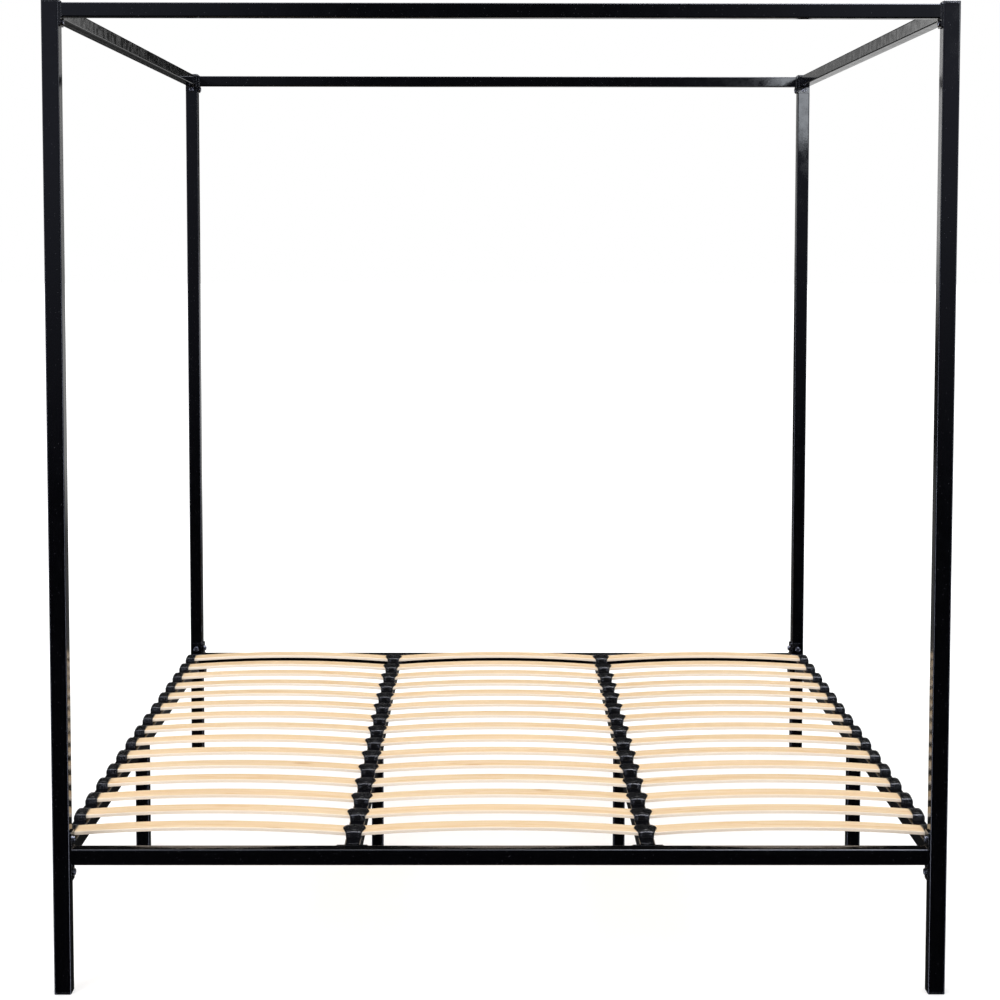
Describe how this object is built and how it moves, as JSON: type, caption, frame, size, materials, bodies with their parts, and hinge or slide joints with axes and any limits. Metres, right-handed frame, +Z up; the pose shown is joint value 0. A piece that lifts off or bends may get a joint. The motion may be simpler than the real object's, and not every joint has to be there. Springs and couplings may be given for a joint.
{
  "type": "four poster canopy bed frame",
  "caption": "Four poster bed frame of black square steel tube with an open canopy of rails and a base of sprung wooden slats in plastic holders.",
  "frame": {"origin": "on the floor, under the middle of the bed's width and length", "axes": "+Z up, +X to the right of someone who faces the front end, +Y from the front end to the rear end"},
  "size_m": [1.89, 2.09, 2.09],
  "materials": {
    "frame_steel": "black powder coat, satin with a faint orange-peel",
    "birch_slat": "pale birch veneer, sanded and clear sealed",
    "holder_plastic": "black moulded plastic, fine matt texture",
    "cap_plastic": "black moulded plastic, satin",
    "fastener_steel": "black zinc plated"
  },
  "bodies": {
    "root": {"canopy_rivet_nuts": "fastener_steel", "canopy_screws": "fastener_steel", "centre_rail_rivet_nuts": "fastener_steel", "centre_rail_screws": "fastener_steel", "front_canopy_rail": "frame_steel", "front_left_post": "frame_steel", "front_left_post_cap": "cap_plastic", "front_left_post_foot": "cap_plastic", "front_rail": "frame_steel", "front_right_post": "frame_steel", "front_right_post_cap": "cap_plastic", "front_right_post_foot": "cap_plastic", "left_canopy_rail": "frame_steel", "left_centre_leg": "frame_steel", "left_centre_leg_foot": "cap_plastic", "left_centre_rail": "frame_steel", "left_double_holders": "holder_plastic", "left_end_holders": "holder_plastic", "left_side_leg": "frame_steel", "left_side_leg_foot": "cap_plastic", "left_side_rail": "frame_steel", "leg_rivet_nuts": "fastener_steel", "leg_screws": "fastener_steel", "rail_rivet_nuts": "fastener_steel", "rail_screws": "fastener_steel", "rail_washers": "fastener_steel", "rear_canopy_rail": "frame_steel", "rear_left_post": "frame_steel", "rear_left_post_cap": "cap_plastic", "rear_left_post_foot": "cap_plastic", "rear_rail": "frame_steel", "rear_right_post": "frame_steel", "rear_right_post_cap": "cap_plastic", "rear_right_post_foot": "cap_plastic", "right_canopy_rail": "frame_steel", "right_centre_leg": "frame_steel", "right_centre_leg_foot": "cap_plastic", "right_centre_rail": "frame_steel", "right_double_holders": "holder_plastic", "right_end_holders": "holder_plastic", "right_side_leg": "frame_steel", "right_side_leg_foot": "cap_plastic", "right_side_rail": "frame_steel", "slat_row_01": "birch_slat", "slat_row_02": "birch_slat", "slat_row_03": "birch_slat", "slat_row_04": "birch_slat", "slat_row_05": "birch_slat", "slat_row_06": "birch_slat", "slat_row_07": "birch_slat", "slat_row_08": "birch_slat", "slat_row_09": "birch_slat", "slat_row_10": "birch_slat", "slat_row_11": "birch_slat", "slat_row_12": "birch_slat", "slat_row_13": "birch_slat", "slat_row_14": "birch_slat", "slat_row_15": "birch_slat"}
  },
  "joints": []
}
